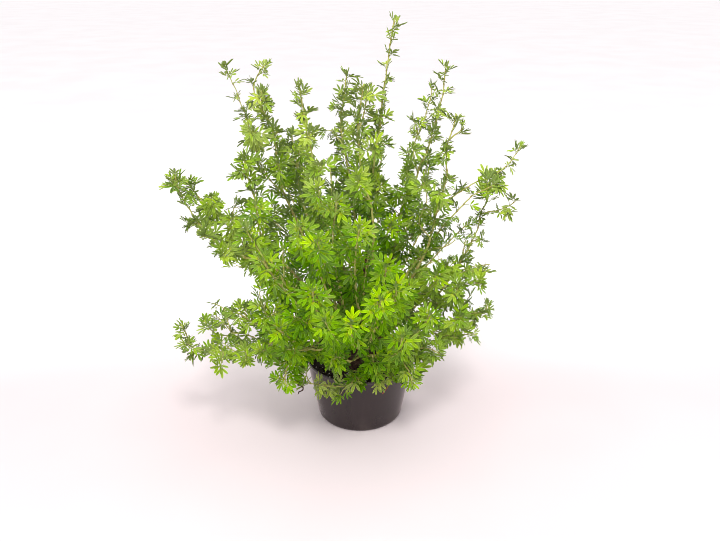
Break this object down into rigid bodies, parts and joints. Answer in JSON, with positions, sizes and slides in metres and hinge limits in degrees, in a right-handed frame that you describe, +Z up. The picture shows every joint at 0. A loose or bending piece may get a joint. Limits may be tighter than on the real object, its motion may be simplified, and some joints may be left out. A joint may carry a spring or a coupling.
{
  "type": "potted shrubby cinquefoil",
  "caption": "Many-stemmed flowering shrub in leaf, not in bloom, growing in a round tapered nursery pot with compost.",
  "frame": {"origin": "centre of the underside of the pot, on the level of the surface it stands on; the pot's axis is the Z axis", "axes": "+Z up along the pot's axis; -Y is the side the picture looks at; +X is to the right as seen from there"},
  "size_m": [0.4997, 0.4807, 0.5826],
  "materials": {
    "pot_plastic": "satin",
    "compost": "matte",
    "old_bark": "matte",
    "bark": "matte",
    "straw_stem": "matte",
    "dry_bark": "matte",
    "leaf": "satin"
  },
  "bodies": {
    "root": {"nursery_pot": "pot_plastic", "compost": "compost", "root_crown": "old_bark", "stem_left_upper": "bark", "stem_left_low": "bark", "stem_left_tall": "bark", "stem_centre_tall": "bark", "stem_right_tall": "bark", "stem_right_upper": "bark", "stem_right_low": "bark", "stem_front_left": "bark", "stem_front_centre": "bark", "stem_front_right": "bark", "stem_back_left": "bark", "stem_back_centre": "bark", "stem_back_right": "bark", "stem_trailing": "straw_stem", "leaves_back_1": "leaf", "leaves_back_2": "leaf", "leaves_back_3": "leaf", "leaves_back_4": "leaf", "leaves_back_5": "leaf", "leaves_back_6": "leaf", "leaves_back_7": "leaf", "leaves_back_8": "leaf", "leaves_back_9": "leaf", "leaves_front_1": "leaf", "leaves_front_2": "leaf", "leaves_front_3": "leaf", "leaves_front_4": "leaf", "leaves_front_5": "leaf", "leaves_front_6": "leaf", "leaves_front_7": "leaf", "leaves_front_8": "leaf", "leaves_front_9": "leaf", "leaves_front_10": "leaf", "leaves_front_11": "leaf", "leaves_front_12": "leaf", "leaves_left_1": "leaf", "leaves_left_2": "leaf", "leaves_left_3": "leaf", "leaves_left_4": "leaf", "leaves_left_5": "leaf", "leaves_left_6": "leaf", "leaves_right_1": "leaf", "leaves_right_2": "leaf", "leaves_right_3": "leaf", "leaves_right_4": "leaf", "leaves_right_5": "leaf", "leaves_right_6": "leaf", "leaves_top_1": "leaf", "leaves_top_2": "leaf", "leaves_top_3": "leaf", "leaves_top_4": "leaf", "leaves_top_5": "leaf", "leaves_top_6": "leaf", "leaves_top_7": "leaf", "leaves_top_8": "leaf", "leaves_top_9": "leaf", "dry_twig": "dry_bark"}
  },
  "joints": []
}
